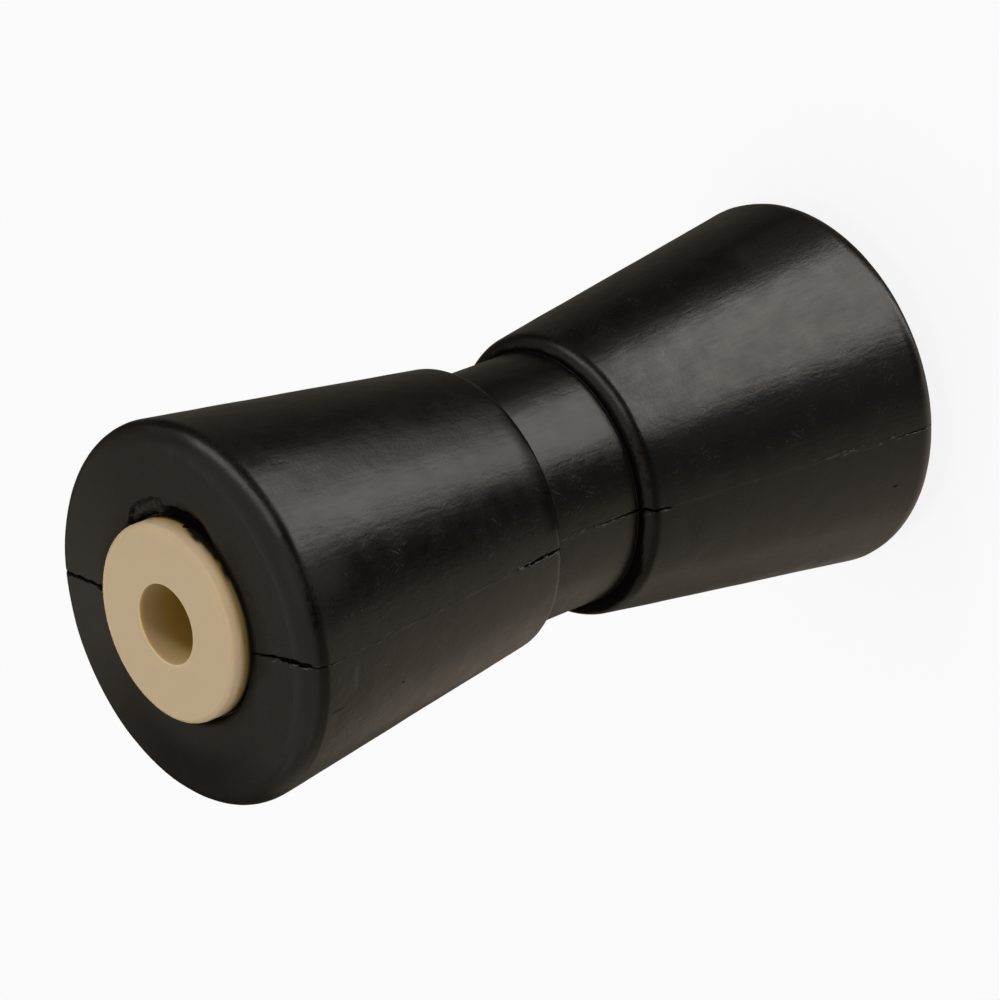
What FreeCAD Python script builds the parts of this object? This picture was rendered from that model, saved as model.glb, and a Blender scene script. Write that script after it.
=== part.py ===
import FreeCAD, Part
import math
import os

from FreeCAD import Vector

# Keel roller of a boat trailer: one moulded rubber body with a nylon bush pressed into each end.
# The rubber is a body of revolution about Z. Two cones, widest at their outer ends, lead a boat's keel
# down to a narrower waist between them. Each bush is a top hat: its barrel is pressed into the rubber's
# bore, and its flange sits in a recess of the end face and stands proud, where it rubs on the bracket.
# The mould's two halves met in the YZ plane. Their parting line runs down the front (-Y) and the back
# (+Y) as a thin rib of flash, and where the flash tore off it left ragged furrows in the rubber.
# The roller stands on its lower bush. Its origin is the middle of its bore, and sizes are in millimetres.

# Rubber body
ROLLER_LENGTH = 200.0
END_DIAMETER = 94.0
SHOULDER_DIAMETER = 70.0
WAIST_DIAMETER = 63.0
WAIST_LENGTH = 26.0
END_EDGE_RADIUS = 5.5
SHOULDER_RADIUS = 3.2

# Nylon bushes
SPINDLE_BORE = 19.5
BARREL_DIAMETER = 32.0
BARREL_LENGTH = 40.0
BARREL_CHAMFER = 1.5
FLANGE_DIAMETER = 48.0
FLANGE_THICKNESS = 7.0
FLANGE_EDGE_RADIUS = 1.3
BORE_CHAMFER = 0.4

# Recess of each end face, which takes the flange
RECESS_DEPTH = 3.0
RECESS_CLEARANCE = 0.5
RECESS_LIP_RADIUS = 2.2

# Rounds are turned as narrow bands that leave the true arc by no more than this
ROUND_SAG = 0.1

# Flash along the parting line of both sides
FLASH_WIDTH = 0.5
FLASH_HEIGHT = 0.25

# Furrows that torn flash left, all of one depth
TEAR_DEPTH = 0.8
TEAR_POINT_SPACING = 1.0
TEAR_FEWEST_STEPS = 6
TEAR_END_WIDTH_SHARE = 0.35
TEAR_WANDER_SHARE = 0.3
TEAR_EDGE_SHARE = 0.2
FACE_TEAR_WIDTH = 0.9
UPPER_SHOULDER_TEAR_WIDTH = 1.3
UPPER_SHOULDER_TEAR_LENGTH = 15.0
WAIST_TEAR_WIDTH = 0.7
WAIST_TEAR_LENGTH = 13.0
LOWER_SHOULDER_TEAR_WIDTH = 1.0
LOWER_SHOULDER_TEAR_LENGTH = 6.0
LOWER_END_TEAR_WIDTH = 0.7
LOWER_END_TEAR_LENGTH = 10.0

# Bite torn out of the upper recess's lip, beside the flange
BITE_WIDTH = 5.5
BITE_DEPTH = 2.6
BITE_START_DEG = -36.0
BITE_END_DEG = 41.0
BITE_STEPS = 30
BITE_BLUNTNESS = 0.4
BITE_EDGE_SHARE = 0.12
BITE_EDGE_LENGTH = 9.0

# Size, rate and shift of each wave in a torn edge's raggedness; the three never fall into step
RAGGED_WAVES = [(0.5, 2.3, 1.7), (0.3, 5.9, 2.9), (0.2, 11.3, 4.1)]

# Places that follow from the sizes
FACE_Z = ROLLER_LENGTH / 2
SHOULDER_Z = WAIST_LENGTH / 2
FLANGE_STANDS_PROUD = FLANGE_THICKNESS - RECESS_DEPTH
RECESS_FLOOR_Z = FACE_Z - RECESS_DEPTH
RECESS_RADIUS = FLANGE_DIAMETER / 2 + RECESS_CLEARANCE

AXIS_POINT = Vector(0, 0, 0)
UP = Vector(0, 0, 1)
FRONT, BACK = -1, 1
ROOM_USED = 0.98
COINCIDENT = 1e-6


def rounded_wire(corners):
    """Closed wire in the XZ plane through corners given as (radius from the axis, height, rounding).

    A rounding is limited to what the edges beside it can hold together with its neighbours'."""
    count = len(corners)
    points = [Vector(r, 0, z) for r, z, _ in corners]
    half_angles = []
    wanted = []
    for i, (_, _, rounding) in enumerate(corners):
        before = points[i - 1] - points[i]
        after = points[(i + 1) % count] - points[i]
        half_angles.append(before.getAngle(after) / 2)
        wanted.append(rounding / math.tan(half_angles[i]))
    room = []
    for i in range(count):
        length = (points[(i + 1) % count] - points[i]).Length
        room.append(ROOM_USED * length / max(wanted[i] + wanted[(i + 1) % count], COINCIDENT))
    arc_points = []
    for i in range(count):
        tangent = wanted[i] * min(1.0, room[i - 1], room[i])
        before = (points[i - 1] - points[i]).normalize()
        after = (points[(i + 1) % count] - points[i]).normalize()
        rounding = tangent * math.tan(half_angles[i])
        to_arc = rounding / math.sin(half_angles[i]) - rounding
        middle = points[i] + (before + after).normalize() * to_arc
        arc_points.append((points[i] + before * tangent, middle, points[i] + after * tangent))
    edges = []
    for i, (start, middle, end) in enumerate(arc_points):
        if (end - start).Length > COINCIDENT:
            edges.append(Part.Arc(start, middle, end).toShape())
        next_start = arc_points[(i + 1) % count][0]
        edges.append(Part.LineSegment(end, next_start).toShape())
    return Part.Wire(edges)


def section(corners):
    """Face of a rounded half section, its arcs divided into short straight bands."""
    points = []
    for edge in rounded_wire(corners).OrderedEdges:
        points += edge.discretize(Deflection=ROUND_SAG)[:-1]
    return Part.Face(Part.makePolygon(points + points[:1]))


def turned(corners):
    """Solid of revolution about Z of a rounded half section."""
    return section(corners).revolve(AXIS_POINT, UP, 360)


def both_halves(upper_corners):
    """Upper half of a section, from the waist round to the axis side, and its mirror image below."""
    return upper_corners + [(r, -z, rounding) for r, z, rounding in reversed(upper_corners)]


def rubber_outside(grown=0.0):
    """Outside of the upper half section, every surface moved outwards by the given amount."""
    return [
        (WAIST_DIAMETER / 2 + grown, SHOULDER_Z - grown, 0.0),
        (SHOULDER_DIAMETER / 2 + grown, SHOULDER_Z - grown, SHOULDER_RADIUS),
        (END_DIAMETER / 2 + grown, FACE_Z + grown, END_EDGE_RADIUS),
    ]


def moulded_rubber():
    """The body as the mould and its core shape it: outside, bore and a lipped recess at each end."""
    recess = [
        (RECESS_RADIUS, FACE_Z, RECESS_LIP_RADIUS),
        (RECESS_RADIUS, RECESS_FLOOR_Z, 0.0),
        (BARREL_DIAMETER / 2, RECESS_FLOOR_Z, 0.0),
    ]
    return turned(both_halves(rubber_outside() + recess))


def flash():
    """Rib of rubber that squeezed out between the mould's halves, along both sides."""
    core_radius = BARREL_DIAMETER / 2
    corners = both_halves(rubber_outside(FLASH_HEIGHT) + [(core_radius, FACE_Z + FLASH_HEIGHT, 0.0)])
    rib = section(corners).extrude(Vector(0, FLASH_WIDTH, 0))
    rib.translate(Vector(0, -FLASH_WIDTH / 2, 0))
    rib.rotate(AXIS_POINT, UP, 90)
    side_length = ROLLER_LENGTH - 2 * END_EDGE_RADIUS
    reach = END_DIAMETER
    between_faces = Part.makeCylinder(reach, side_length, Vector(0, 0, -side_length / 2), UP)
    back_rib = rib.common(between_faces)
    front_rib = back_rib.mirror(AXIS_POINT, Vector(0, 1, 0))
    return [back_rib, front_rib]


def ragged(place, seed):
    """Repeatable raggedness from -1 to 1 along a torn edge."""
    return sum(size * math.sin(rate * place + shift * seed) for size, rate, shift in RAGGED_WAVES)


def rough_share(place, seed, share):
    """Factor for a width whose last share is ragged along the edge."""
    return 1 - share + share * ragged(place, seed)


def tear_outline(length, width, seed):
    """Outline of a tear as (along, across) points: it wanders, and narrows towards both ends."""
    steps = max(TEAR_FEWEST_STEPS, round(length / TEAR_POINT_SPACING))
    one_side = []
    other_side = []
    for i in range(steps + 1):
        along = length * i / steps
        swell = TEAR_END_WIDTH_SHARE + (1 - TEAR_END_WIDTH_SHARE) * math.sin(math.pi * i / steps)
        middle = TEAR_WANDER_SHARE * width * ragged(along, seed)
        half = width / 2 * swell
        one_side.append((along, middle + half * rough_share(2 * along, seed + 1, TEAR_EDGE_SHARE)))
        other_side.append((along, middle - half * rough_share(2 * along, seed + 2, TEAR_EDGE_SHARE)))
    return one_side + other_side[::-1]


def prism(points, push):
    """Solid with a straight-sided outline, pushed along a vector."""
    return Part.Face(Part.makePolygon(points + points[:1])).extrude(push)


def upper_face_tear(side, seed):
    """Tear across the upper end face on the parting line, from the flange out over the rounded edge."""
    start = FLANGE_DIAMETER / 2
    outline = tear_outline(END_DIAMETER / 2 + TEAR_DEPTH - start, FACE_TEAR_WIDTH, seed)
    outside_z = FACE_Z + TEAR_DEPTH
    points = [Vector(across, side * (start + along), outside_z) for along, across in outline]
    return prism(points, UP * -(END_EDGE_RADIUS + TEAR_DEPTH))


def front_tear(low_z, length, width, seed):
    """Tear up the front on the parting line, from a height."""
    outside_y = -END_DIAMETER / 2
    outline = tear_outline(length, width, seed)
    points = [Vector(across, outside_y, low_z + along) for along, across in outline]
    inside_y = -WAIST_DIAMETER / 2 + TEAR_DEPTH
    return prism(points, Vector(0, inside_y - outside_y, 0))


def parting_line_tears():
    """Every furrow along the parting line, cut only as deep as the tears go."""
    lower_shoulder_z = -SHOULDER_Z - LOWER_SHOULDER_TEAR_LENGTH
    lower_end_z = -FACE_Z + END_EDGE_RADIUS
    tears = [
        upper_face_tear(FRONT, seed=1),
        upper_face_tear(BACK, seed=2),
        front_tear(SHOULDER_Z, UPPER_SHOULDER_TEAR_LENGTH, UPPER_SHOULDER_TEAR_WIDTH, seed=3),
        front_tear(-SHOULDER_Z, WAIST_TEAR_LENGTH, WAIST_TEAR_WIDTH, seed=4),
        front_tear(lower_shoulder_z, LOWER_SHOULDER_TEAR_LENGTH, LOWER_SHOULDER_TEAR_WIDTH, seed=5),
        front_tear(lower_end_z, LOWER_END_TEAR_LENGTH, LOWER_END_TEAR_WIDTH, seed=6),
    ]
    untorn = turned(both_halves(rubber_outside(-TEAR_DEPTH) + [(0.0, FACE_Z - TEAR_DEPTH, 0.0)]))
    return [tear.cut(untorn) for tear in tears]


def bite():
    """Piece torn out of the upper recess's lip, with a ragged outer edge."""
    outside_z = FACE_Z + TEAR_DEPTH
    inner = []
    outer = []
    for i in range(BITE_STEPS + 1):
        share = i / BITE_STEPS
        angle = math.radians(BITE_START_DEG + share * (BITE_END_DEG - BITE_START_DEG))
        outwards = Vector(math.cos(angle), math.sin(angle), 0)
        swell = math.sin(math.pi * share) ** BITE_BLUNTNESS
        width = BITE_WIDTH * swell * rough_share(BITE_EDGE_LENGTH * share, 3, BITE_EDGE_SHARE)
        inner.append(outwards * (RECESS_RADIUS - RECESS_CLEARANCE / 2) + UP * outside_z)
        outer.append(outwards * (RECESS_RADIUS + width) + UP * outside_z)
    return prism(inner + outer[-2:0:-1], UP * -(BITE_DEPTH + TEAR_DEPTH))


def rubber_roller():
    """The moulded rubber body, with its flash, its furrows and the bite beside the upper flange."""
    body = moulded_rubber().multiFuse(flash())
    body = body.cut([bite(), *parting_line_tears()])
    return body.removeSplitter()


def upper_bush():
    """Top-hat nylon bush, pressed down into the upper end until its flange seats in the recess."""
    bore_radius = SPINDLE_BORE / 2
    flange_radius = FLANGE_DIAMETER / 2
    barrel_radius = BARREL_DIAMETER / 2
    top_z = FACE_Z + FLANGE_STANDS_PROUD
    bottom_z = RECESS_FLOOR_Z - BARREL_LENGTH
    return turned([
        (bore_radius, top_z - BORE_CHAMFER, 0.0),
        (bore_radius + BORE_CHAMFER, top_z, 0.0),
        (flange_radius, top_z, FLANGE_EDGE_RADIUS),
        (flange_radius, RECESS_FLOOR_Z, 0.0),
        (barrel_radius, RECESS_FLOOR_Z, 0.0),
        (barrel_radius, bottom_z + BARREL_CHAMFER, 0.0),
        (barrel_radius - BARREL_CHAMFER, bottom_z, 0.0),
        (bore_radius, bottom_z, 0.0),
    ])


def main():
    """Builds each piece and writes it to its own STEP file."""
    upper = upper_bush()
    pieces = {
        "rubber_roller": rubber_roller(),
        "upper_bush": upper,
        "lower_bush": upper.mirror(AXIS_POINT, UP),
    }
    os.makedirs("parts", exist_ok=True)
    for name, shape in pieces.items():
        print(name, "valid", shape.isValid(), "solids", len(shape.Solids), "volume", round(shape.Volume, 1))
        shape.exportStep(f"parts/{name}.step")


main()
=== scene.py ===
import math

import bpy
import numpy as np
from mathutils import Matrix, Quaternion, Vector


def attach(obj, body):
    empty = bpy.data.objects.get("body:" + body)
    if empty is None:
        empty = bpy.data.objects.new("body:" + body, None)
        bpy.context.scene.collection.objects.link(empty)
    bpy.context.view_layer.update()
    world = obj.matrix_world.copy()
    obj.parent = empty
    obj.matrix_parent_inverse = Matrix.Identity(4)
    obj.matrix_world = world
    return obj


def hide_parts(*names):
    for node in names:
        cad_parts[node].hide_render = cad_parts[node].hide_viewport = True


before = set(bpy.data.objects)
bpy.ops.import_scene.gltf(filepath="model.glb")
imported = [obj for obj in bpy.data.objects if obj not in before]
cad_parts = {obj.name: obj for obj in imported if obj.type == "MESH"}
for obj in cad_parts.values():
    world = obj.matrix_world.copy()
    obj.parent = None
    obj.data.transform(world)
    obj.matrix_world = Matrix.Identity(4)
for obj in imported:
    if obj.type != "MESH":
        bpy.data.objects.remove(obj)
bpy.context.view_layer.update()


# Rubber body: two cones and a waist, moulded in one piece of black rubber in a two-part mould, with a core
# for its bore. The halves met in the YZ plane a little out of step, and the flash that squeezed out between
# them was torn off by hand, which left ragged furrows and crumbs. It is soft enough to show every scuff.

MM = 0.001

FACE_Z = 100.0
END_RADIUS = 47.0
END_EDGE_ROUND = 5.5
SHOULDER_RADIUS = 35.0
SHOULDER_Z, SHOULDER_ROUND = 13.0, 3.2
LOWER_SHOULDER_Z, LOWER_SHOULDER_ROUND = 13.4, 3.8
WAIST_RADIUS = 31.5
WAIST_CORNER_ROUND = 0.15
RECESS_RADIUS = 24.5
RECESS_FLOOR_Z = 97.0
LIP_ROUND = 2.2
BORE_RADIUS = 16.0
MISMATCH, MISMATCH_WIDTH = 0.05, 0.1
RIB_HEIGHT = 0.035
CRUMB_HEIGHT = 0.3

ARC_ROWS = 12
GUARD_ROW = 0.15

BLACK_RUBBER = (0.0026, 0.002, 0.0018, 1), (0.0036, 0.0029, 0.0026, 1)
# Torn rubber's colour, also used where shade is painted
RAW_RUBBER_AND_SHADE = (0.0014, 0.0006, 0.0004, 1), (0.0022, 0.0012, 0.0009, 1)
# Pale dust, also used for painted sheen
DUST_AND_SHEEN_TONE = (0.09, 0.08, 0.07, 1)
SCUFF = (0.075, 0.072, 0.07, 1)
PALE_RUB = (0.09, 0.088, 0.085, 1)


def half_section(corners):
    """Closed half section with true rounds, as radii and heights, and each point's outward normal.

    A corner is (radius, height, rounding, row spacing on the run that follows). It is replaced by the arc
    tangent to both its runs. A run has evenly spaced rows, and one guard row close to each end."""
    corner_points = np.array([corner[:2] for corner in corners])
    count = len(corners)
    arcs = []
    for i, (_, _, rounding, _) in enumerate(corners):
        here = corner_points[i]
        before, after = corner_points[i - 1] - here, corner_points[(i + 1) % count] - here
        before, after = before / np.hypot(*before), after / np.hypot(*after)
        half_angle = math.acos(float(before @ after)) / 2
        reach = rounding / math.tan(half_angle)
        middle = (before + after) / np.hypot(*(before + after))
        centre = here + middle * rounding / math.sin(half_angle)
        arcs.append((here + before * reach, here + after * reach, centre, before, after))
    points, normals = [], []
    for i, (_, _, rounding, spacing) in enumerate(corners):
        start, end, centre, before, after = arcs[i]
        normal_in = np.array([before[1], -before[0]])
        normal_out = np.array([-after[1], after[0]])
        if rounding > 0:
            share = np.linspace(0, 1, ARC_ROWS)[:, None]
            swing = math.acos(float(np.clip(normal_in @ normal_out, -1, 1)))
            facing = np.sin((1 - share) * swing) * normal_in + np.sin(share * swing) * normal_out
            facing = facing / math.sin(swing)
            bulge = np.sign(float((start - centre) @ normal_in))
            points.append(centre + bulge * rounding * facing)
            normals.append(facing)
        else:
            facing = normal_in + normal_out
            points.append(end[None])
            normals.append((facing / np.hypot(*facing))[None])
        run = np.hypot(*(arcs[(i + 1) % count][0] - end))
        gaps = max(1, round(run / spacing))
        steps = np.arange(1, gaps) * run / gaps
        if run > 4 * GUARD_ROW:
            steps = np.concatenate([[GUARD_ROW], steps, [run - GUARD_ROW]])
        points.append(end + after * steps[:, None])
        normals.append(np.repeat(normal_out[None], len(steps), 0))
    points, normals = np.concatenate(points), np.concatenate(normals)
    return points[:, 0], points[:, 1], normals[:, 0], normals[:, 1]


def placed(name, data):
    """Puts a mesh, a lamp or a camera into the scene as an object."""
    thing = bpy.data.objects.new(name, data)
    bpy.context.scene.collection.objects.link(thing)
    return thing


def closed_surface(name, x, y, z):
    """Mesh object from a grid of points in millimetres that closes on itself both ways, like a ring."""
    places = np.stack([x, y, z], -1).reshape(-1, 3) * MM
    here = np.arange(x.size).reshape(x.shape)
    right, above = np.roll(here, -1, 1), np.roll(here, -1, 0)
    quads = np.stack([here, above, np.roll(above, -1, 1), right], -1).reshape(-1)
    mesh = bpy.data.meshes.new(name)
    mesh.vertices.add(len(places))
    mesh.vertices.foreach_set("co", places.ravel())
    mesh.loops.add(len(quads))
    mesh.loops.foreach_set("vertex_index", quads)
    mesh.polygons.add(len(quads) // 4)
    mesh.polygons.foreach_set("loop_start", np.arange(0, len(quads), 4))
    mesh.polygons.foreach_set("use_smooth", np.ones(len(quads) // 4, bool))
    mesh.update(calc_edges=True)
    mesh.validate()
    return placed(name, mesh)


def paint(piece, name, amounts):
    """Stores one number per point of the surface, for the finish to read."""
    layer = piece.data.attributes.new(name, "FLOAT", "POINT")
    layer.data.foreach_set("value", np.ascontiguousarray(amounts, np.float32).ravel())


def step(x, low, high):
    """Smooth rise from 0 at low to 1 at high: 3 s^2 - 2 s^3, where s is the share of the way."""
    share = np.clip((x - low) / (high - low), 0, 1)
    return share * share * (3 - 2 * share)


def window(x, low, high, soft):
    """1 between low and high, with soft ends."""
    return step(x, low - soft, low) * (1 - step(x, high, high + soft))


def follow(x, knots):
    """Value at x on the straight lines that join (place, value) knots."""
    places, values = np.array(knots).T
    return np.interp(x, places, values)


# Random values are drawn for places this far either way, which is past any place on the surface
DRAWN_REACH = 160.0


def ragged(place, spacing, seed):
    """Jagged line from -1 to 1: random values at knots a spacing apart, joined by straight pieces."""
    knots = np.arange(-DRAWN_REACH, DRAWN_REACH, spacing)
    return np.interp(place, knots, np.random.default_rng(seed).uniform(-1, 1, len(knots)))


def lumps(along, turn, spacing, count, seed):
    """Uneven surface from -1 to 1: random values on a grid, spacing millimetres apart along the surface and
    count of them round the axis, joined smoothly. It closes on itself round the axis."""
    rows = round(2 * DRAWN_REACH / spacing) + 2
    table = np.random.default_rng(seed).uniform(-1, 1, (rows, count))
    row, column = (along + DRAWN_REACH) / spacing, (turn / (2 * math.pi)) % 1 * count
    row_0, column_0 = np.floor(row).astype(int), np.floor(column).astype(int)
    row_share, column_share = step(row - row_0, 0, 1), step(column - column_0, 0, 1)
    column_1 = (column_0 + 1) % count
    column_0 = column_0 % count
    first = table[row_0, column_0] * (1 - column_share) + table[row_0, column_1] * column_share
    second = table[row_0 + 1, column_0] * (1 - column_share) + table[row_0 + 1, column_1] * column_share
    return first * (1 - row_share) + second * row_share


# Bearing in degrees where a stretch of columns starts, and how many columns it has. They stand closest at
# the parting line and beside the bite.
column_stretches = (
    (-180, 12), (-150, 20), (-97, 5), (-93, 8), (-91.7, 28), (-88.3, 8), (-87, 12), (-52, 90), (44, 16),
    (87, 6), (88.3, 20), (91.7, 6), (93, 26), (180, 0),
)
turns = np.concatenate([
    np.linspace(math.radians(start), math.radians(end), columns, endpoint=False)
    for (start, columns), (end, _) in zip(column_stretches, column_stretches[1:])
])

radius, height, normal_r, normal_z = half_section([
    (BORE_RADIUS, -RECESS_FLOOR_Z, 0, 65),
    (BORE_RADIUS, RECESS_FLOOR_Z, 0, 4),
    (RECESS_RADIUS, RECESS_FLOOR_Z, 0, 0.4),
    (RECESS_RADIUS, FACE_Z, LIP_ROUND, 0.4),
    (END_RADIUS, FACE_Z, END_EDGE_ROUND, 0.9),
    (SHOULDER_RADIUS, SHOULDER_Z, SHOULDER_ROUND, 0.5),
    (WAIST_RADIUS, SHOULDER_Z, WAIST_CORNER_ROUND, 0.55),
    (WAIST_RADIUS, -LOWER_SHOULDER_Z, WAIST_CORNER_ROUND, 0.5),
    (SHOULDER_RADIUS, -LOWER_SHOULDER_Z, LOWER_SHOULDER_ROUND, 0.9),
    (END_RADIUS, -FACE_Z, END_EDGE_ROUND, 2.0),
    (RECESS_RADIUS, -FACE_Z, LIP_ROUND, 1.0),
    (RECESS_RADIUS, -RECESS_FLOOR_Z, 0, 4),
])
r, z, n_r, n_z = (values[:, None] for values in (radius, height, normal_r, normal_z))
turn = turns[None, :] + 0 * r

# Shares that tell the surface's parts from each other
outside = step(r, 28.5, 30.5)
facing_up = step(n_z, 0.35, 0.9)
facing_side = 1 - step(np.abs(n_z), 0.55, 0.95)
upper_end = z > 90
upper_cone = (z > SHOULDER_Z - 0.5) * (r > 34)

# The parting line strays a little from its plane, and the columns stray with it: by (radius, millimetres
# aside) on the upper face, and by a share of the radius on the side.
FRONT, BACK = -math.pi / 2, math.pi / 2
FRONT_STRAY = (24, -1.6), (29.8, -0.7), (34.5, 0.1), (39.8, 0.6), (44, 0.3), (47, -0.7)
BACK_STRAY = (24, 0.2), (28.5, 0), (32.6, -0.4), (37.1, -0.7), (42.2, -0.3), (47, 0)
SIDE_STRAY = 0.0155
HELD, EASED = 0.04, 0.12
across_front, across_back = (turn - FRONT) * r, (turn - BACK) * r
stray_front = follow(r, FRONT_STRAY) * facing_up - SIDE_STRAY * r * (1 - facing_up) * outside
stray_back = follow(r, BACK_STRAY) * facing_up
turn = turn + stray_front / r * window(turns, FRONT - HELD, FRONT + HELD, EASED)
turn = turn + stray_back / r * window(turns, BACK - HELD, BACK + HELD, EASED)
bearing = np.degrees(turn)
full_bearing = bearing % 360


def furrow(across, along, marks, seed):
    """Jagged groove along the parting line: marks are (place along it, half width, depth).

    The half width varies by up to 35 %, and the middle wanders by up to 35 % of it. The depth is 55 to
    115 % of what the marks say. The walls slope over the outer 45 % of the half width."""
    place, half_width, depth = np.array(marks).T
    plain_half = np.interp(along, place, half_width)
    half = plain_half * (1 + 0.35 * ragged(along, 0.55, seed))
    middle = 0.35 * plain_half * ragged(along, 1.1, seed + 1)
    floor = np.interp(along, place, depth) * (0.85 + 0.3 * ragged(along, 0.7, seed + 2))
    return floor * (1 - step(np.abs(across - middle), 0.55 * half, half))


# The parting line is torn on the -Y side and across the upper face. On the +Y side it is a thin groove.
front_marks = [
    (-100, 0.15, 0.3), (-96, 0.22, 0.5), (-89, 0.22, 0.5), (-87.5, 0.1, 0.1), (-61, 0.06, 0.02),
    (-20, 0.06, 0.02), (-19, 0.35, 0.5), (-16, 0.45, 0.8), (-13, 0.4, 0.7), (-8, 0.25, 0.5), (-3, 0.18, 0.4),
    (0.6, 0.1, 0.2), (1, 0.08, 0), (12.5, 0.08, 0), (13, 0.3, 0.4), (15, 0.4, 0.7), (21, 0.6, 0.9),
    (27, 0.4, 0.7), (28.5, 0.14, 0.3), (30, 0.09, 0.09), (60, 0.09, 0.08), (88, 0.09, 0.08), (94, 0.15, 0.3),
    (100, 0.2, 0.4),
]
front_face_marks = [
    (24, 0.35, 0.5), (28, 0.38, 0.7), (33, 0.4, 0.8), (38, 0.6, 0.9), (41, 0.75, 1.1), (44, 0.75, 1.1),
    (46, 0.4, 0.7), (47, 0.2, 0.4),
]
back_face_marks = [
    (24, 0.8, 1.0), (31, 0.7, 1.0), (33, 0.5, 0.8), (42, 0.55, 0.8), (45, 0.5, 0.7), (47, 0.3, 0.4),
]
back_marks = [(-FACE_Z, 0.13, 0.3), (FACE_Z, 0.13, 0.3)]
dashes = np.where((z > 28) & (z < 93), 0.35 + 0.65 * step(ragged(z, 2.3, 11), -0.5, 0.2), 1)
groove = furrow(across_front, z, front_marks, 21) * facing_side * dashes
groove = np.maximum(groove, furrow(across_front, r, front_face_marks, 31) * facing_up)
groove = np.maximum(groove, furrow(across_back, r, back_face_marks, 41) * facing_up)
groove = np.maximum(groove, furrow(across_back, z, back_marks, 51) * facing_side)
groove = groove * step(r, RECESS_RADIUS + 0.1, RECESS_RADIUS + 0.8)

# Crumbs of torn flash beside the furrows, how thick they lie at a height or a radius, and the rib where the
# flash did not tear
side_crumbs = (
    (-96, 0.2), (-88, 0.2), (-87, 0.7), (-62, 0.7), (-60, 0.1), (-20, 0.1), (-19, 0.8), (-12, 0.6), (12, 0.3),
    (14, 0.8), (29, 0.8), (31, 0.15), (90, 0.15), (92, 0.4),
)
face_crumbs = (24, 1.1), (27, 1.1), (30, 0.5), (40, 0.5), (42, 1), (46, 1)
CRUMB_SIZE, CRUMBS_ROUND = 0.8, 520
beside_side = 1 - step(np.abs(across_front - 0.1), 0.35, 1.1)
beside_face = 1 - step(np.abs(across_front + 0.7), 0.4, 1.0)
crumb = step(lumps(z, turn, CRUMB_SIZE, CRUMBS_ROUND, 61), 0.25, 0.8) * beside_side * facing_side
flake = step(lumps(r, turn, CRUMB_SIZE, CRUMBS_ROUND, 62), 0.2, 0.8) * beside_face * facing_up
crumb = (crumb * follow(z, side_crumbs) + flake * follow(r, face_crumbs)) * outside
rib = RIB_HEIGHT * (1 - step(np.abs(across_front), 0.1, 0.45)) * (1 - step(groove, 0, 0.2)) * facing_side
rib = rib * outside * (1 - window(z, -61, -22, 1))

# Slight unevenness of the moulding, in long and in short swells
LONG_SWELL, SHORT_SWELL = 0.05, 0.026
uneven = LONG_SWELL * lumps(z, turn, 13, 26, 71) + SHORT_SWELL * lumps(z, turn, 5, 60, 72)
lift = (uneven * outside + rib + CRUMB_HEIGHT * crumb * (1 - step(groove, 0, 0.15))) - groove

# Bite torn out of the recess's lip beside the flange: a deep hole, then a rough lump that stayed in it. Its
# outline is (bearing, radius).
BITE_OUTLINE = (
    (-39, 24.2), (-34, 26.3), (-27, 27.6), (-22, 28.4), (-16, 28.3), (-8, 28), (-2, 27.8), (4.8, 27.2),
    (6, 28.3), (6.9, 29.4), (8.2, 28.9), (13.6, 28.9), (17, 28.5), (24.6, 28.5), (32, 27.7), (36, 26.5),
    (40, 25.2), (43, 24.2),
)
HOLE_DEPTH = 2.7
LUMP_DEPTH, LUMP_ROUGHNESS = 0.8, 0.5
BITE_FLOOR_Z = RECESS_FLOOR_Z + 0.25
WORN_DEPTH = 0.35
bite_edge = follow(bearing, BITE_OUTLINE) + 0.25 * ragged(turn * 30, 0.7, 81)
in_bite = (1 - step(r, bite_edge - 0.5, bite_edge + 0.15)) * step(n_z, -0.1, 0.15) * upper_end
on_lump = window(bearing, 8.5, 40, 2.3) * (1 - step(r, bite_edge - 0.55, bite_edge - 0.1))
rough = 0.6 * lumps(r, turn, 0.5, 420, 91) + 0.4 * lumps(r, turn, 1.3, 160, 92)
bite_depth = HOLE_DEPTH * (1 - on_lump) + (LUMP_DEPTH + LUMP_ROUGHNESS * rough) * on_lump
worn_shaded_edge = window(bearing, -34, -8, 4.6) * (1 - step(r, bite_edge, bite_edge + 2.4)) * facing_up
sunk = np.maximum(z - bite_depth * in_bite, np.minimum(z, BITE_FLOOR_Z))
sunk = sunk - WORN_DEPTH * worn_shaded_edge * (1 - in_bite)

# Point of torn rubber that clings to the flange's rim: (bearing, height)
CLING_TOP = (
    (-24, 97), (-18, 98.2), (-14, 98.8), (-12, 99.4), (-10.6, 100.5), (-9.4, 99.3), (-6, 97.8), (0, 97),
)
cling_z = follow(bearing, CLING_TOP)
cling = (1 - step(r, 24.2, 24.9)) * step(n_z, -0.2, 0.1) * (cling_z > RECESS_FLOOR_Z + 0.01) * upper_end
sunk = np.where(upper_end, np.maximum(sunk, sunk + (cling_z - sunk) * cling), z)

# The mould's halves met a little out of step
x = (r + n_r * lift) * np.cos(turn)
y = (r + n_r * lift) * np.sin(turn)
y = y - MISMATCH / 2 * np.tanh(r * np.cos(turns)[None, :] / MISMATCH_WIDTH) * outside
rubber = closed_surface("moulded_rubber", x, y, sunk + n_z * lift)

# Torn and painted shade: no sheen in the torn furrows, and painted shade without sheen in the corner where
# the waist meets each cone
torn_and_shade = step(groove, 0.05, 0.3)
wall_reach = follow(bearing, ((-118, 34.5), (-102, 33.4), (-56, 32.6))) + 0.25 * ragged(turn * 35, 0.9, 75)
corner = (1 - step(r, wall_reach - 0.3, wall_reach + 0.4)) * (r > WAIST_RADIUS + 0.05)
torn_and_shade = np.maximum(torn_and_shade, corner * (np.abs(np.abs(z) - SHOULDER_Z) < 2.5))
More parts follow.
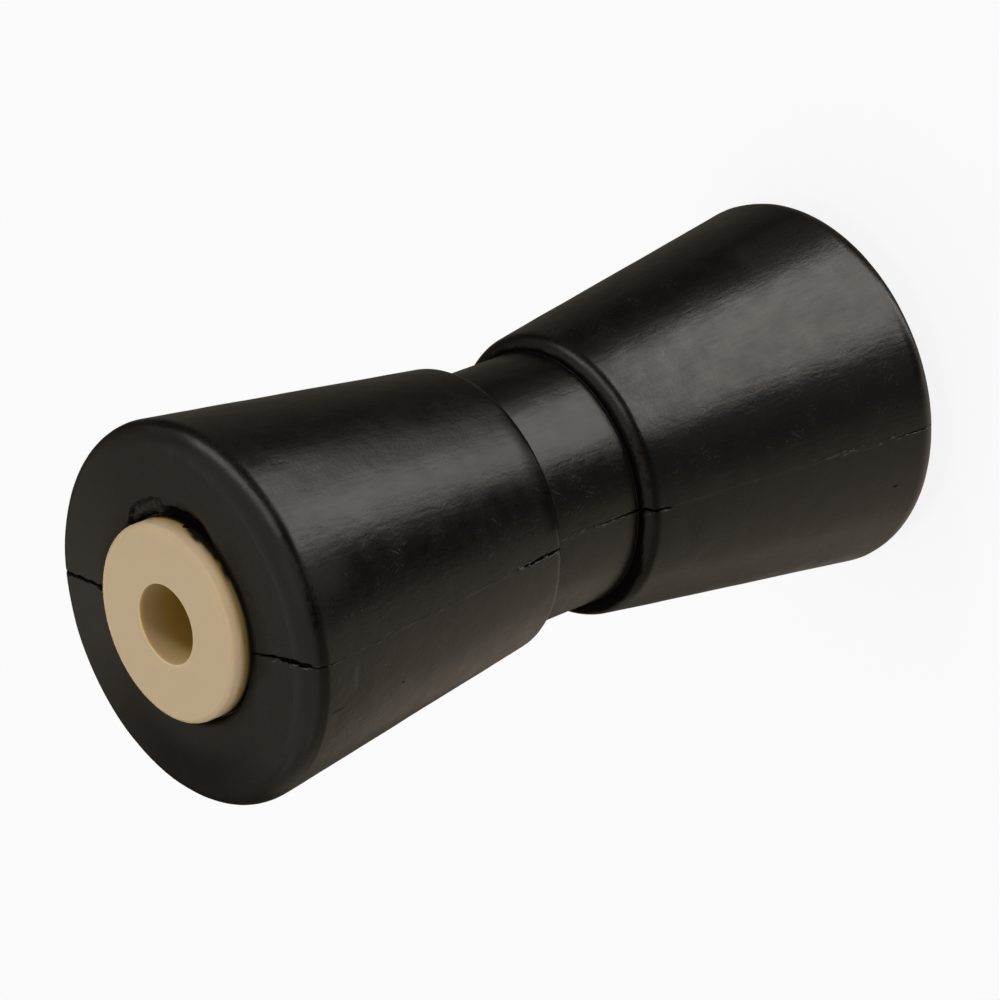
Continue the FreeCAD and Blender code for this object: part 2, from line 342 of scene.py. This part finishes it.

# Painted shade on the brow of the upper shoulder, which is rounder on the real roller, fainter up the cone
# from it, and on the lower shoulder's crest. Darker, duller skin on the -X side of the upper face. Painted
# shade inside the recess's lip, where the flange's rim stands over it and is mirrored in it
brow = (1 - step(z + 0.8 * lumps(z, turn, 4, 60, 76), 14.8, 21)) * upper_cone
torn_and_shade = np.maximum(torn_and_shade, 0.84 * brow * window(bearing, -80, -36, 6.9))
torn_and_shade = np.maximum(torn_and_shade, 0.13 * (1 - step(z, 30, 75)) * upper_cone * window(bearing, -82, -25, 5.7))
torn_and_shade = np.maximum(torn_and_shade, 0.3 * window(bearing, -130, -66, 8.6) * window(z, -17, -13.8, 0.5))
face_minus_x = follow(full_bearing, ((135, 0), (165, 1), (195, 1), (228, 0))) * facing_up * upper_end
torn_and_shade = np.maximum(torn_and_shade, 0.48 * face_minus_x * step(r, 28, 36))
# Painted shade in the recess's lip beside the flange, strongest from -95 to -10 degrees of bearing
lip_round = follow(bearing, ((-160, 0), (-130, 0.3), (-110, 0.6), (-95, 1), (-10, 1), (5, 0)))
lip_far = 0.3 * window(bearing, -98, -45, 8.6) * (1 - step(r, 28.5, 34.5))
lip_shade = np.maximum(lip_round * (1 - step(r, 26.2, 29.4)), lip_far)
torn_and_shade = np.maximum(torn_and_shade, lip_shade * step(n_z, 0.05, 0.3) * upper_end)

# A dark torn thread along the end's edge, and the bite, with painted shade on its worn edge where the lip
# rounds down into the hole
thread = 1 - step(np.abs(z - 95.6 - 0.3 * ragged(turn * 46, 1.1, 78)), 0.2, 0.75)
torn_and_shade = np.maximum(torn_and_shade, 0.75 * thread * (r > 44) * window(bearing, -75, -55, 11.5))
torn_and_shade = np.maximum(torn_and_shade, in_bite * (1 - 0.8 * on_lump))
torn_and_shade = np.maximum(torn_and_shade, 0.7 * worn_shaded_edge)
paint(rubber, "torn_and_shade", torn_and_shade)

# Dust and painted sheen: crumbs, painted sheen over the upper face on the +Y side, a painted highlight beside
# the end's edge, a pale line on the upper shoulder's brow and a pale patch near the lower end, and the lump
# in the bite
face_sheen = follow(full_bearing, ((25, 0), (85, 1), (110, 1), (140, 0))) * step(r, 25, 31) * facing_up
brow_pale_line = window(z, 13.0, 14.3, 0.6) * (r > 34.2) * window(bearing, -26, 2, 4.6)
brow_pale_line = brow_pale_line * (0.6 + 0.4 * lumps(z, turn, 1.5, 160, 77))
edge_highlight = window(bearing, -66, -62, 11.5) * window(z, 89, 93, 9) * (r > 44)
far_pale_patch = window(bearing, -21, -11, 6.9) * window(z, -96, -72, 6)
dust_and_sheen = crumb + 0.28 * face_sheen * upper_end + 0.3 * brow_pale_line + 0.2 * edge_highlight + 0.1 * far_pale_patch
dust_and_sheen = np.maximum(dust_and_sheen, 0.35 * in_bite * on_lump * step(rough, -0.3, 0.7))
paint(rubber, "dust_and_sheen", dust_and_sheen)

# Scuffed into specks and scratches: strength, bearings from and to and their softness, heights the same
scuffed = 0.1 + 0 * turn
for strength, start, end, soft, low, high, soft_z in (
    (0.5, -80, -57, 6.9, -12, 90, 6),
    (0.3, -20, -6, 8.6, 15, 80, 10),
    (0.35, -54, -34, 5.7, -92, -55, 6),
    (0.35, -80, -60, 6.9, -92, -25, 6),
    (0.3, -20, -5, 6.9, -60, -22, 6),
):
    patch = window(bearing, start, end, soft) * window(z, low, high, soft_z)
    scuffed = np.maximum(scuffed, strength * patch)
paint(rubber, "scuffed", scuffed * outside)

# Dark flecks along the end's edge and on both shoulders, in the same terms, and ticks on the upper face
flecked = follow(bearing, ((-82, 0), (-77, 1), (-73, 1), (-66, 0.5), (-56, 0))) * window(z, 94.8, 96.2, 0.7)
for strength, start, end, soft, low, high, soft_z in (
    (0.5, -56, -30, 5.7, 95.0, 95.8, 0.5),
    (0.5, -30, 12, 5.7, 95.0, 95.8, 0.5),
    (1.0, -82, -66, 2.9, 13, 15.5, 1),
    (0.6, -82, -61, 5.7, -15.8, -13.8, 0.6),
):
    patch = window(bearing, start, end, soft) * window(z, low, high, soft_z)
    flecked = np.maximum(flecked, strength * patch)
ticks = window(r, 41.7, 42.0, 0.3) * window(bearing, -38, -22, 2.9) * facing_up * upper_end
paint(rubber, "flecked", np.maximum(flecked, 0.45 * ticks) * outside)


class Field:
    """A shader socket in a Python expression: each operator adds the Math node that does it."""

    def __init__(self, finish, socket):
        self.finish, self.socket = finish, socket

    def math(self, operation, *others):
        """Result of a Math node's operation on this field and others."""
        sockets = dict(enumerate((self,) + others))
        return self.finish.node("ShaderNodeMath", {"operation": operation}, sockets)

    def rise(self, low, high):
        """Smooth rise from 0 at low to 1 at high."""
        settings = {"interpolation_type": "SMOOTHSTEP"}
        return self.finish.node("ShaderNodeMapRange", settings, {0: self, 1: low, 2: high})

    def __add__(self, other):
        return self.math("ADD", other)

    def __mul__(self, other):
        return self.math("MULTIPLY", other)

    def __rsub__(self, other):
        return self * -1 + other

    __radd__, __rmul__ = __add__, __mul__


class Finish:
    """A procedural material, or the shading of the room, built up node by node."""

    def __init__(self, owner):
        self.owner = owner
        self.owner.use_nodes = True
        self.tree = self.owner.node_tree
        self.tree.nodes.clear()

    def node(self, kind, settings=None, sockets=None, output=0):
        """Adds a node of a kind: first its settings, then its sockets' values or links."""
        made = self.tree.nodes.new(kind)
        for name, setting in (settings or {}).items():
            setattr(made, name, setting)
        for name, value in (sockets or {}).items():
            if isinstance(value, Field):
                self.tree.links.new(value.socket, made.inputs[name])
            else:
                made.inputs[name].default_value = value
        return Field(self, made.outputs[output]) if len(made.outputs) else None

    def vector(self, operation, first, second, output=0):
        """Result of a Vector Math operation on two vectors."""
        return self.node("ShaderNodeVectorMath", {"operation": operation}, {0: first, 1: second}, output)

    def painted(self, name):
        """Amount, from 0 to 1, that is painted on the piece under a name."""
        return self.node("ShaderNodeAttribute", {"attribute_name": name}, output="Fac")

    def noise(self, place, scale, detail):
        """Random pattern from 0 to 1: scale is how many lumps a metre holds, detail its finer layers."""
        return self.node("ShaderNodeTexNoise", None, {"Vector": place, "Scale": scale, "Detail": detail})

    def blend(self, factor, first, second):
        """Colour between two colours."""
        settings = {"data_type": "RGBA", "clamp_factor": True}
        return self.node("ShaderNodeMix", settings, {0: factor, 6: first, 7: second}, 2)

    def close(self, shader):
        """Sends the shader to the material's output."""
        self.node("ShaderNodeOutputMaterial", None, {"Surface": shader})
        return self.owner


def small_mark(finish, place, bearing, radius, z, around, along):
    """1 within a small oval on the side, that is around mm wide round the axis and along mm long."""
    turn = math.radians(bearing)
    outward, sideways = (math.cos(turn), math.sin(turn), 0.0), (-math.sin(turn), math.cos(turn), 0.0)
    centre = (radius * outward[0] * MM, radius * outward[1] * MM, z * MM)
    offset = finish.vector("SUBTRACT", place, centre)
    reach = 0
    for direction, size in ((outward, 10.0), (sideways, around), ((0.0, 0.0, 1.0), along)):
        part = finish.vector("DOT_PRODUCT", offset, direction, 1) * (2 / (size * MM))
        reach = part * part + reach
    return 1 - reach.rise(0.3, 1.2)


# Marks that can be told one by one: bearing, radius, height, size around and along, strength
PALE_SMEAR = (-99, 44.9, 85, 7.5, 1.6, 0.1)
PALE_SPECKS = (
    (-77.5, 44.1, -78.8, 1.6, 1.4, 0.3),
    (-65, 43, -70.8, 1.3, 2.2, 0.3),
    (-49, 31.5, 6, 1.2, 0.7, 0.4),
)
DARK_NICKS = (
    (-107.3, 45.6, 90.6, 0.8, 5.0, 0.5),
    (-110.8, 42.6, 68.2, 0.8, 0.8, 0.9),
    (-108.2, 45.2, -86.8, 0.7, 1.7, 0.9),
)
SCRATCH_ANGLES = -0.5, 0.65
SCRATCHED_SIDE = (0.42, -0.91, 0.0)


def rubber_finish():
    """Black rubber: a dull sheen from the mould's skin, fine grain, no light where torn and in painted shade,
    pale dust and painted sheen.
    """
    finish = Finish(bpy.data.materials.new("moulded_black_rubber"))
    place = finish.node("ShaderNodeTexCoord", output="Object")
    grain = finish.noise(place, 1400.0, 3.0)
    cloud = finish.noise(place, 60.0, 4.0)
    blotch = finish.noise(place, 170.0, 4.0)
    streak = finish.noise(finish.vector("MULTIPLY", place, (1.0, 1.0, 0.12)), 900.0, 2.0)
    colour = finish.blend(cloud, *BLACK_RUBBER)
    # Pale dust, and painted sheen and highlight, lighten the colour
    colour = finish.blend(finish.painted("dust_and_sheen") * 0.6, colour, DUST_AND_SHEEN_TONE)

    # Scuffs: specks in patches, and thin scratches that run two ways over the dark side
    speck = finish.noise(place, 2300.0, 1.0).rise(0.6, 0.74)
    scuffs = speck * blotch.rise(0.45, 0.6)
    for angle in SCRATCH_ANGLES:
        turned = finish.node("ShaderNodeVectorRotate", {"rotation_type": "AXIS_ANGLE"}, {
            "Vector": place, "Axis": SCRATCHED_SIDE, "Angle": angle,
        })
        scratch = finish.noise(finish.vector("MULTIPLY", turned, (1.0, 1.0, 0.09)), 1900.0, 1.0)
        scuffs = scuffs + scratch.rise(0.65, 0.78) * blotch.rise(0.5, 0.62)
    colour = finish.blend(scuffs * finish.painted("scuffed") * 0.6, colour, SCUFF)

    *spot, strength = PALE_SMEAR
    pale_marks = small_mark(finish, place, *spot) * strength
    for *spot, strength in PALE_SPECKS:
        pale_marks = pale_marks + small_mark(finish, place, *spot) * speck * strength
    colour = finish.blend(pale_marks, colour, PALE_RUB)
    # Painted shade and torn skin both take the raw finish, which has no sheen
    torn_and_shade_here = finish.painted("torn_and_shade")
    for *spot, strength in DARK_NICKS:
        torn_and_shade_here = torn_and_shade_here.math("MAXIMUM", small_mark(finish, place, *spot) * strength)
    fleck = finish.noise(place, 900.0, 3.0).rise(0.48, 0.6)
    torn_and_shade_here = torn_and_shade_here.math("MAXIMUM", fleck * finish.painted("flecked"))

    height = grain + 1.3 * streak + 4 * blotch
    bump = finish.node("ShaderNodeBump", None, {"Strength": 0.27, "Distance": 0.0001, "Height": height})
    skin = finish.node("ShaderNodeBsdfPrincipled", None, {
        "Base Color": colour, "Roughness": 0.17 + 0.16 * blotch + 0.1 * streak, "Normal": bump,
        "Specular IOR Level": 0.22, "Specular Tint": (1.0, 0.95, 0.9, 1),
    })
    raw_and_shade = finish.node("ShaderNodeBsdfPrincipled", None, {
        "Base Color": finish.blend(cloud, *RAW_RUBBER_AND_SHADE), "Roughness": 0.8, "Specular IOR Level": 0.03,
    })
    return finish.close(finish.node("ShaderNodeMixShader", None, {0: torn_and_shade_here, 1: skin, 2: raw_and_shade}))


rubber.data.materials.append(rubber_finish())
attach(rubber, "root")
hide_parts("rubber_roller")


# Bushes: two alike, turned top hats of cream nylon, pressed into the rubber's bore until the flange seats in
# the recess. The flange stands proud of the rubber and rubs on the bracket's cheek.

SPINDLE_RADIUS = 9.75
SPINDLE_EDGE_ROUND = 0.2
BARREL_RADIUS = BORE_RADIUS
BARREL_END_Z = 57.0
BARREL_EDGE_ROUND = 1.2
INNER_EDGE_ROUND = 0.4
FLANGE_RADIUS = 24.0
FLANGE_TOP_Z = 104.0
FLANGE_EDGE_ROUND = 1.3
SEAT_Z = RECESS_FLOOR_Z
SEAT_EDGE_ROUND = 0.2
BUSH_COLUMNS = 240

CREAM = (0.55, 0.42, 0.264, 1), (0.57, 0.437, 0.28, 1)
# Painted shade deep in the bore, at the face's edge and where the rim sits in the recess, and painted glow in
# the bore's mouth
SHADED_CREAM = (0.57, 0.4, 0.12, 1)
EDGE_SHADE = (0.12, 0.08, 0.04, 1)
BORE_MOUTH_GLOW = (0.85, 0.68, 0.34, 1)
BLACK_RIM_SHADE = (0.004, 0.0016, 0.0006, 1)

# Beside the bite the painted shade on the rim reaches higher, under the torn rubber: (bearing, share)
RIM_SHADE_TOP_Z = 98.6
RAISED_RIM_SHADE = (-75, 0), (-50, 0.35), (-32, 0.6), (-18, 1), (-9, 0)


def bush(name, side):
    """Half section of the top hat carried round the axis, on the upper (1) or the lower (-1) side."""
    radius, height, _, _ = half_section([
        (SPINDLE_RADIUS, BARREL_END_Z, INNER_EDGE_ROUND, 8),
        (SPINDLE_RADIUS, FLANGE_TOP_Z, SPINDLE_EDGE_ROUND, 1),
        (FLANGE_RADIUS, FLANGE_TOP_Z, FLANGE_EDGE_ROUND, 0.8),
        (FLANGE_RADIUS, SEAT_Z, SEAT_EDGE_ROUND, 2),
        (BARREL_RADIUS, SEAT_Z, 0, 8),
        (BARREL_RADIUS, BARREL_END_Z, BARREL_EDGE_ROUND, 2),
    ])
    turns = np.linspace(0, 2 * math.pi, BUSH_COLUMNS, endpoint=False) * side
    r, z, turn = np.broadcast_arrays(radius[:, None], height[:, None], turns[None, :])
    hat = closed_surface(name, r * np.cos(turn), r * np.sin(turn), side * z)
    in_bore = r < SPINDLE_RADIUS + 0.15
    on_rim = r > FLANGE_RADIUS - 0.1
    # Painted shade: more saturated and darker deep in the bore and low on the rim
    paint(hat, "deep_shade", in_bore * (1 - step(z, 101.0, 103.8)) + on_rim * (1 - step(z, 99.6, 101.8)))
    # Painted shade on the outer edge of the flange's face
    paint(hat, "edge_shade", step(r, 22.6, 23.3) * step(z, 102.2, 103.1))
    # Painted glow in the bore's mouth
    paint(hat, "mouth_glow", in_bore * step(z, 99.0, 103.8))
    # Painted shade, nearly black, where the rim sits in the recess
    signed_turn = (turn + math.pi) % (2 * math.pi) - math.pi
    raised = (side > 0) * follow(np.degrees(signed_turn), RAISED_RIM_SHADE)
    rim_shade_top = RIM_SHADE_TOP_Z + raised * (1.7 + 0.6 * ragged(signed_turn * FLANGE_RADIUS, 1.2, 95))
    paint(hat, "rim_shade", (r > FLANGE_RADIUS - 0.3) * (1 - step(z, rim_shade_top, rim_shade_top + 0.8)))
    return hat


def nylon_finish():
    """Cream nylon with a satin skin and the slightest mottle, and a little glow within. Painted shade in the
    bore, on the rim and at the face's edge, and a painted glow in the bore's mouth.
    """
    finish = Finish(bpy.data.materials.new("cream_nylon"))
    place = finish.node("ShaderNodeTexCoord", output="Object")
    cloud = finish.noise(place, 90.0, 3.0)
    grain = finish.noise(place, 2500.0, 2.0)
    colour = finish.blend(cloud, *CREAM)
    colour = finish.blend(finish.painted("deep_shade"), colour, SHADED_CREAM)
    colour = finish.blend(finish.painted("edge_shade") * 0.2, colour, EDGE_SHADE)
    colour = finish.blend(finish.painted("mouth_glow") * 0.4, colour, BORE_MOUTH_GLOW)
    colour = finish.blend(finish.painted("rim_shade"), colour, BLACK_RIM_SHADE)
    bump = finish.node("ShaderNodeBump", None, {"Strength": 0.05, "Distance": 0.0001, "Height": grain})
    return finish.close(finish.node("ShaderNodeBsdfPrincipled", None, {
        "Base Color": colour, "Roughness": 0.42 + 0.08 * cloud, "Normal": bump, "Specular IOR Level": 0.4,
        "Subsurface Weight": 1.0, "Subsurface Radius": (1.0, 0.75, 0.5), "Subsurface Scale": 0.003,
    }))


nylon = nylon_finish()
for name, node, side in (("top_hat_bush_upper", "upper_bush", 1), ("top_hat_bush_lower", "lower_bush", -1)):
    hat = bush(name, side)
    hat.data.materials.append(nylon)
    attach(hat, "root")
    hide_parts(node)


# Floor: a wide pale sheet that the roller stands on, seen nearly white. It keeps part of the shadow, and the
# gloss on the rubber doesn't show it.

FLOOR_Z = -FLANGE_TOP_Z
FLOOR_RADIUS = 3000.0
FLOOR_STEPS = 97
SHEET = (0.86, 0.86, 0.86, 1), (0.88, 0.88, 0.88, 1)
WHITE = (1, 1, 1, 1)
GLOWING_SHARE = 0.88


def staged(name, places, quads):
    """Sheet of the stage, from points in millimetres and the four corners of each face."""
    mesh = bpy.data.meshes.new(name)
    mesh.from_pydata((places.reshape(-1, 3) * MM).tolist(), [], quads.tolist())
    sheet = placed(name, mesh)
    return sheet


def flat_sheet(name, inner, outer, start, end, z, steps):
    """Flat patch between two radii and two bearings in degrees, facing up."""
    reach, bearing = np.meshgrid([inner, outer], np.radians(np.linspace(start, end, steps)))
    places = np.stack([reach * np.cos(bearing), reach * np.sin(bearing), 0 * reach + z], -1)
    first = np.arange(steps - 1) * 2
    quads = np.stack([first, first + 1, first + 3, first + 2], -1)
    return staged(name, places, quads)


def seen_share(finish):
    """1 for what the camera, a gloss or a clear piece sees, else 0."""
    kinds = "Is Camera Ray", "Is Glossy Ray", "Is Transmission Ray"
    camera, glossy, through = (finish.node("ShaderNodeLightPath", output=kind) for kind in kinds)
    return (camera + glossy + through).math("MINIMUM", 1.0)


def floor_finish():
    """Pale sheet that stays white where it is seen, and keeps part of the shadow."""
    finish = Finish(bpy.data.materials.new("pale_sheet"))
    cloud = finish.noise(finish.node("ShaderNodeTexCoord", output="Object"), 8.0, 2.0)
    sheet = finish.node("ShaderNodeBsdfDiffuse", None, {"Color": finish.blend(cloud, *SHEET)})
    glow = finish.node("ShaderNodeEmission", None, {"Color": WHITE, "Strength": 1.0})
    share = seen_share(finish) * GLOWING_SHARE
    return finish.close(finish.node("ShaderNodeMixShader", None, {0: share, 1: sheet, 2: glow}))


floor = flat_sheet("floor", 0.0, FLOOR_RADIUS, 0, 360, FLOOR_Z, FLOOR_STEPS)
floor.data.materials.append(floor_finish())
floor.visible_glossy = False


# Cards: what the gloss on the black rubber shows, and nothing else sees. Most lie far below, lit and dark in
# bands of bearing and of slope, and show through the hole in the rings at floor level. The walls stand round
# the roller, and its upper face and the rounds of its ends mirror them.

LIGHT, WARM, COOL = (1, 0.96, 0.93, 1), (1, 0.86, 0.7, 1), (0.92, 0.93, 1, 1)
FAR_Z = -1500.0
NEAR_Z = FLOOR_Z + 1
INNER, OUTER = 100.0, 8000.0
STEEP_END, MIDDLE_END, LEFT_SPLIT = 1450.0, 2330.0, 1960.0
WALL_REACH = 400.0
CARD_STEPS, WALL_STEPS = 24, 40


def wall(name, start, end, low, high):
    """Card that stands upright, bent round the roller at one distance from its axis, facing it."""
    bearing, z = np.meshgrid(np.radians(np.linspace(start, end, WALL_STEPS)), [low, high])
    places = np.stack([WALL_REACH * np.cos(bearing), WALL_REACH * np.sin(bearing), z], -1)
    first = np.arange(WALL_STEPS - 1)
    quads = np.stack([first + 1, first, first + WALL_STEPS, first + WALL_STEPS + 1], -1)
    return staged(name, places, quads)


def only_mirrored(card, tone, strength):
    """Makes a card glow evenly, and leaves it out of everything but the gloss on the roller."""
    finish = Finish(bpy.data.materials.new(card.name + "_face"))
    glow = finish.node("ShaderNodeEmission", None, {"Color": tone, "Strength": strength})
    card.data.materials.append(finish.close(glow))
    card.visible_camera = card.visible_diffuse = card.visible_shadow = card.visible_transmission = False


# Inner and outer radius, bearings from and to, tone, strength
for name, inner, outer, start, end, tone, strength in (
    ("lit_panel_steep", INNER, STEEP_END, -46, -14, LIGHT, 5.4),
    ("lit_panel_middle", STEEP_END, MIDDLE_END, -52.5, 1, LIGHT, 6.4),
    ("lit_panel_low", MIDDLE_END, OUTER, -57.5, 4, LIGHT, 9.4),
    ("dark_card_steep", INNER, STEEP_END, -92, -46, COOL, 0.05),
    ("dark_card_middle", STEEP_END, MIDDLE_END, -92, -52.5, COOL, 0.05),
    ("grey_card_low", MIDDLE_END, OUTER, -80, -57.5, COOL, 0.6),
    ("dark_card_low", MIDDLE_END, OUTER, -92, -80, COOL, 0.3),
    ("dark_card_steep_right", INNER, STEEP_END, -14, 50, WARM, 0.06),
    ("grey_card_middle_right", STEEP_END, MIDDLE_END, 1, 20, WARM, 0.5),
    ("dark_card_middle_right", STEEP_END, MIDDLE_END, 20, 50, WARM, 0.06),
    ("grey_card_low_right", MIDDLE_END, OUTER, 4, 22, WARM, 0.5),
    ("dark_card_low_right", MIDDLE_END, OUTER, 22, 50, WARM, 0.04),
    ("dark_card_behind", INNER, OUTER, 50, 130, WARM, 0.14),
    ("grey_card_behind_left", INNER, LEFT_SPLIT, 130, 158, WARM, 0.44),
    ("dark_card_behind_left", LEFT_SPLIT, OUTER, 130, 158, WARM, 0.14),
    ("grey_card_left", INNER, LEFT_SPLIT, 158, 175, WARM, 0.66),
    ("dim_card_left", LEFT_SPLIT, OUTER, 158, 175, WARM, 0.4),
    ("pale_card_left", INNER, OUTER, 175, 205, WARM, 0.8),
    ("pale_card_front_left", INNER, OUTER, 205, 256, WARM, 1.0),
    ("grey_card_front", INNER, OUTER, 256, 268, WARM, 0.35),
):
    only_mirrored(flat_sheet(name, inner, outer, start, end, FAR_Z, CARD_STEPS), tone, strength)
for name, inner, outer, start, end, tone, strength in (
    ("lit_patch", 194, 265, -14, 2, LIGHT, 4.8),
    ("dark_ring_front", 290, 400, -120, 5, WARM, 0.15),
    ("dark_ring", 240, 400, 5, 160, WARM, 0.15),
    ("grey_ring", 240, 400, 160, 240, WARM, 0.3),
):
    only_mirrored(flat_sheet(name, inner, outer, start, end, NEAR_Z, CARD_STEPS), tone, strength)

# Bearings from and to, heights from and to, tone, strength
for name, start, end, low, high, tone, strength in (
    ("lit_strip", -42, 30, 113, 253, LIGHT, 5.0),
    ("dark_wall_under_strip", -42, 30, FLOOR_Z, 95, WARM, 0.2),
    ("dark_wall_right", 30, 62, FLOOR_Z, 90, WARM, 0.03),
    ("grey_wall_right", 30, 62, 90, 420, WARM, 0.47),
    ("dark_wall_back", 62, 165, FLOOR_Z, 80, WARM, 0.05),
    ("dim_wall_back", 62, 165, 80, 200, WARM, 0.15),
    ("grey_wall_back", 62, 165, 200, 440, WARM, 0.39),
    ("grey_wall_left", 165, 200, FLOOR_Z, 300, WARM, 0.52),
    ("grey_wall_front_left", -160, -115, FLOOR_Z, 120, WARM, 0.5),
    ("dark_wall_front_left", -115, -85, FLOOR_Z, 150, WARM, 0.28),
    ("dark_wall_front", -85, -42, FLOOR_Z, 120, WARM, 0.05),
    ("grey_wall_front", -85, -42, 120, 290, WARM, 0.5),
):
    only_mirrored(wall(name, start, end, low, high), tone, strength)


# Room and lamps: a soft white room, which lights the roller with 0.3 of the strength that it shows and is
# a little warmer in the gloss. Two lamps stand above the roller, and three low ones reach the flange's rim
# past the rubber's face.

ROOM_LIGHT = 0.3
WARM_WHITE = (1, 0.93, 0.87, 1)

world = bpy.data.worlds.new("soft_room")
bpy.context.scene.world = world
room = Finish(world)
light_level = ROOM_LIGHT + (1 - ROOM_LIGHT) * seen_share(room)
mirrored = room.node("ShaderNodeLightPath", output="Is Glossy Ray")
room_tone = room.blend(mirrored, WHITE, WARM_WHITE)
background = room.node("ShaderNodeBackground", None, {"Color": room_tone, "Strength": light_level})
room.node("ShaderNodeOutputWorld", None, {"Surface": background})

# Place in metres, width in metres, power in watts
for name, place, width, power in (
    ("lamp_above", (-0.2, 0.25, 1.6), 1.2, 13.0),
    ("lamp_right", (1.57, 0.14, 0.74), 0.5, 6.3),
    ("low_lamp_right", (1.64, -0.44, 0.011), 0.2, 5.0),
    ("low_lamp_front", (0.8, -1.5, 0.011), 0.2, 7.3),
    ("low_lamp_left", (-0.58, -1.6, 0.011), 0.2, 7.7),
):
    glow = bpy.data.lights.new(name, "AREA")
    glow.shape, glow.size, glow.energy = "DISK", width, power
    lamp = placed(name, glow)
    lamp.location = place
    lamp.rotation_euler = (-lamp.location).to_track_quat("-Z", "Y").to_euler()
    lamp.visible_camera = lamp.visible_glossy = False


# Camera: where the photograph was taken from, 1.4 m off with a long lens. It is aimed at the waist and
# rolled, so that the upright roller lies across the picture.

CAMERA_PLACE = Vector((499.187, -981.488, 824.507)) * MM
CAMERA_AIM = Vector((-0.72, -0.37, 2.71)) * MM
CAMERA_ROLL = math.radians(-111.013)
LENS, SENSOR_WIDTH = 207.8, 36.0

camera_data = bpy.data.cameras.new("camera")
camera_data.lens, camera_data.sensor_width = LENS, SENSOR_WIDTH
camera = placed("camera", camera_data)
camera.location = CAMERA_PLACE
aimed = (CAMERA_AIM - CAMERA_PLACE).to_track_quat("-Z", "Y")
camera.rotation_euler = (aimed @ Quaternion((0, 0, 1), CAMERA_ROLL)).to_euler()
bpy.context.scene.camera = camera
bpy.context.scene.view_settings.view_transform = "Standard"
